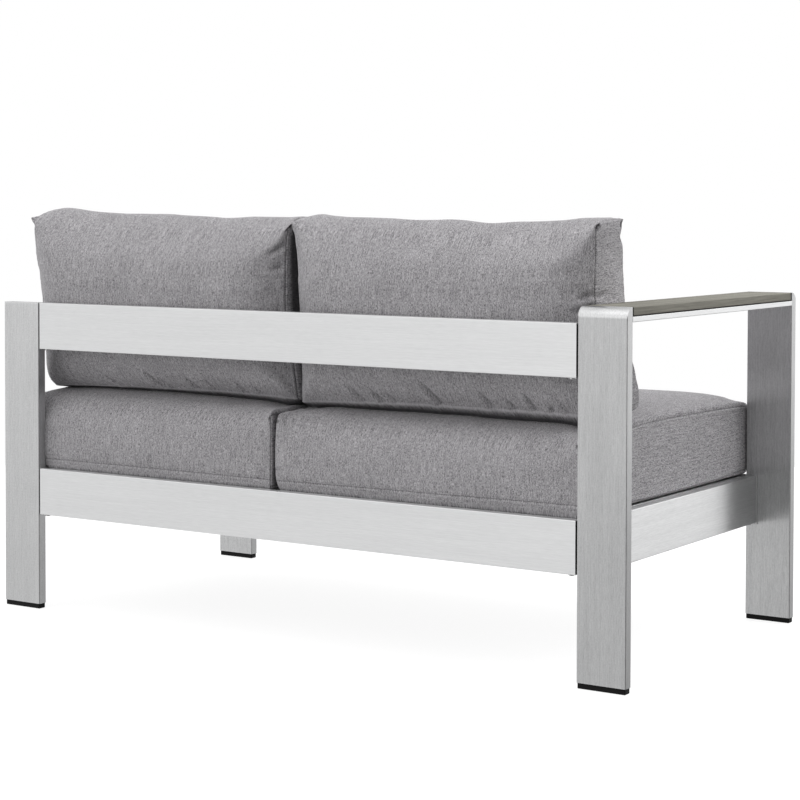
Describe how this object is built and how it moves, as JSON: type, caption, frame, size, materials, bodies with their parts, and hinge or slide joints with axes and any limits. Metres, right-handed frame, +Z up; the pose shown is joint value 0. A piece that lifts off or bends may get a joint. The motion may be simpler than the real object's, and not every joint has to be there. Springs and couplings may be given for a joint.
{
  "type": "patio loveseat",
  "caption": "One-arm outdoor loveseat: flat aluminium tube frame with a plank armrest, open at the other end, with loose seat and back cushions.",
  "frame": {"origin": "on the floor, under the centre of the frame's footprint", "axes": "+Z up; -Y is where the sitter faces; +X from the armrest towards the open end"},
  "size_m": [1.404, 0.7224, 0.8006],
  "materials": {
    "brushed_aluminium": "satin",
    "mill_aluminium": "matte",
    "grey_plank": "matte",
    "black_plastic": "satin",
    "stainless_screws": "satin",
    "cushion_fabric": "matte",
    "cushion_filling": "matte"
  },
  "bodies": {
    "frame": {"arm_crossbar": "brushed_aluminium", "arm_front_leg": "brushed_aluminium", "arm_rear_leg": "brushed_aluminium", "armrest_board": "grey_plank", "armrest_board_screws": "stainless_screws", "back_bottom_rail": "brushed_aluminium", "back_bottom_rail_spigot_left": "black_plastic", "back_bottom_rail_spigot_right": "black_plastic", "back_ledger_angle": "mill_aluminium", "back_top_rail": "brushed_aluminium", "back_top_rail_spigot_left": "black_plastic", "back_top_rail_spigot_right": "black_plastic", "foot_arm_front": "black_plastic", "foot_arm_rear": "black_plastic", "foot_left_front": "black_plastic", "foot_left_rear": "black_plastic", "front_ledger_angle": "mill_aluminium", "front_rail": "brushed_aluminium", "front_rail_spigot_left": "black_plastic", "front_rail_spigot_right": "black_plastic", "left_front_leg": "brushed_aluminium", "left_front_leg_cap": "brushed_aluminium", "left_rear_post": "brushed_aluminium", "left_rear_post_cap": "brushed_aluminium", "left_side_rail": "brushed_aluminium", "left_side_rail_spigot_front": "mill_aluminium", "left_side_rail_spigot_rear": "mill_aluminium", "rail_screws": "stainless_screws", "right_side_rail": "brushed_aluminium", "right_side_rail_spigot_front": "mill_aluminium", "right_side_rail_spigot_rear": "mill_aluminium", "seat_slat_01": "mill_aluminium", "seat_slat_02": "mill_aluminium", "seat_slat_03": "mill_aluminium", "seat_slat_04": "mill_aluminium", "seat_slat_05": "mill_aluminium", "seat_slat_06": "mill_aluminium", "seat_slat_07": "mill_aluminium", "seat_slat_08": "mill_aluminium", "seat_slat_09": "mill_aluminium", "seat_slat_10": "mill_aluminium", "seat_slat_screws": "stainless_screws"},
    "seat_cushion_right": {"seat_cushion_right_cover": "cushion_fabric", "seat_cushion_right_foam": "cushion_filling"},
    "seat_cushion_left": {"seat_cushion_left_cover": "cushion_fabric", "seat_cushion_left_foam": "cushion_filling"},
    "back_cushion_right": {"back_cushion_right_cover": "cushion_fabric", "back_cushion_right_filling": "cushion_filling"},
    "back_cushion_left": {"back_cushion_left_cover": "cushion_fabric", "back_cushion_left_filling": "cushion_filling"}
  },
  "joints": [
    {"name": "seat_cushion_right_slide", "type": "slide", "parent": "frame", "child": "seat_cushion_right", "axis": [0, -1, 0], "range_m": [0, 0.25]},
    {"name": "back_cushion_right_lift", "type": "slide", "parent": "frame", "child": "back_cushion_right", "axis": [0, 0, 1], "range_m": [0, 0.3]},
    {"name": "seat_cushion_left_slide", "type": "slide", "parent": "frame", "child": "seat_cushion_left", "axis": [0, -1, 0], "range_m": [0, 0.25]},
    {"name": "back_cushion_left_lift", "type": "slide", "parent": "frame", "child": "back_cushion_left", "axis": [0, 0, 1], "range_m": [0, 0.3]}
  ]
}
